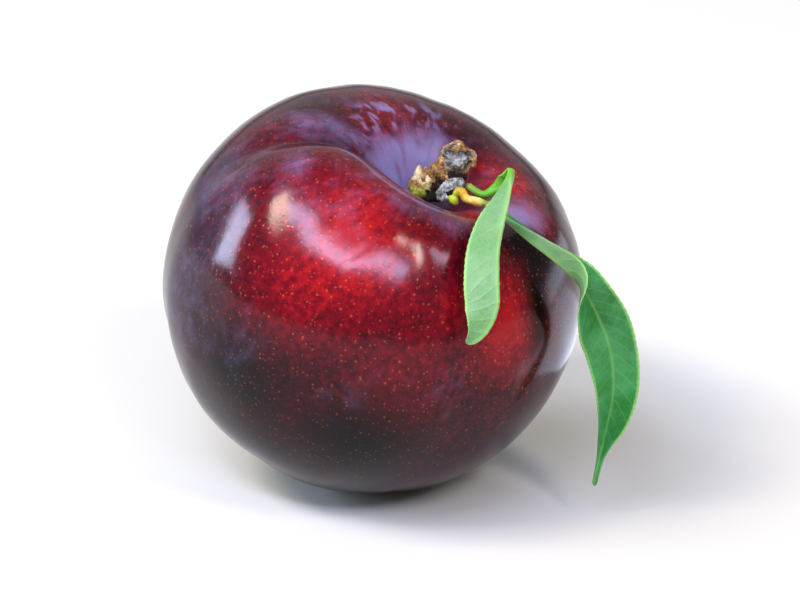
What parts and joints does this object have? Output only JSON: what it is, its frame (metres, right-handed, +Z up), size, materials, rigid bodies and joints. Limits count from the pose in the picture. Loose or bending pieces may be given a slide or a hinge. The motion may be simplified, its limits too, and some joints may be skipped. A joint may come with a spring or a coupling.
{
  "type": "plum",
  "caption": "Ripe dark red plum, broad and a little flattened from stem to tip, with a stem cavity, a suture, a woody spur and two young folded leaves.",
  "frame": {"origin": "the middle of the small flat spot that the fruit rests on, on the surface it rests on", "axes": "+Z up, away from the surface; the stem end leans towards -Y and +X, and the suture runs round the -X side"},
  "size_m": [0.0654, 0.0586, 0.054],
  "materials": {
    "plum_skin": "smooth waxy skin, glossy, with bloom in the stem cavity",
    "stalk": "green-brown, matt",
    "spur_bark": "rough weathered bark with grey scars",
    "leaf": "soft satin leaf, paler underneath"
  },
  "bodies": {
    "root": {"fruit": "plum_skin", "stalk": "stalk", "spur": "spur_bark", "leaf_front": "leaf", "leaf_side": "leaf"}
  },
  "joints": []
}
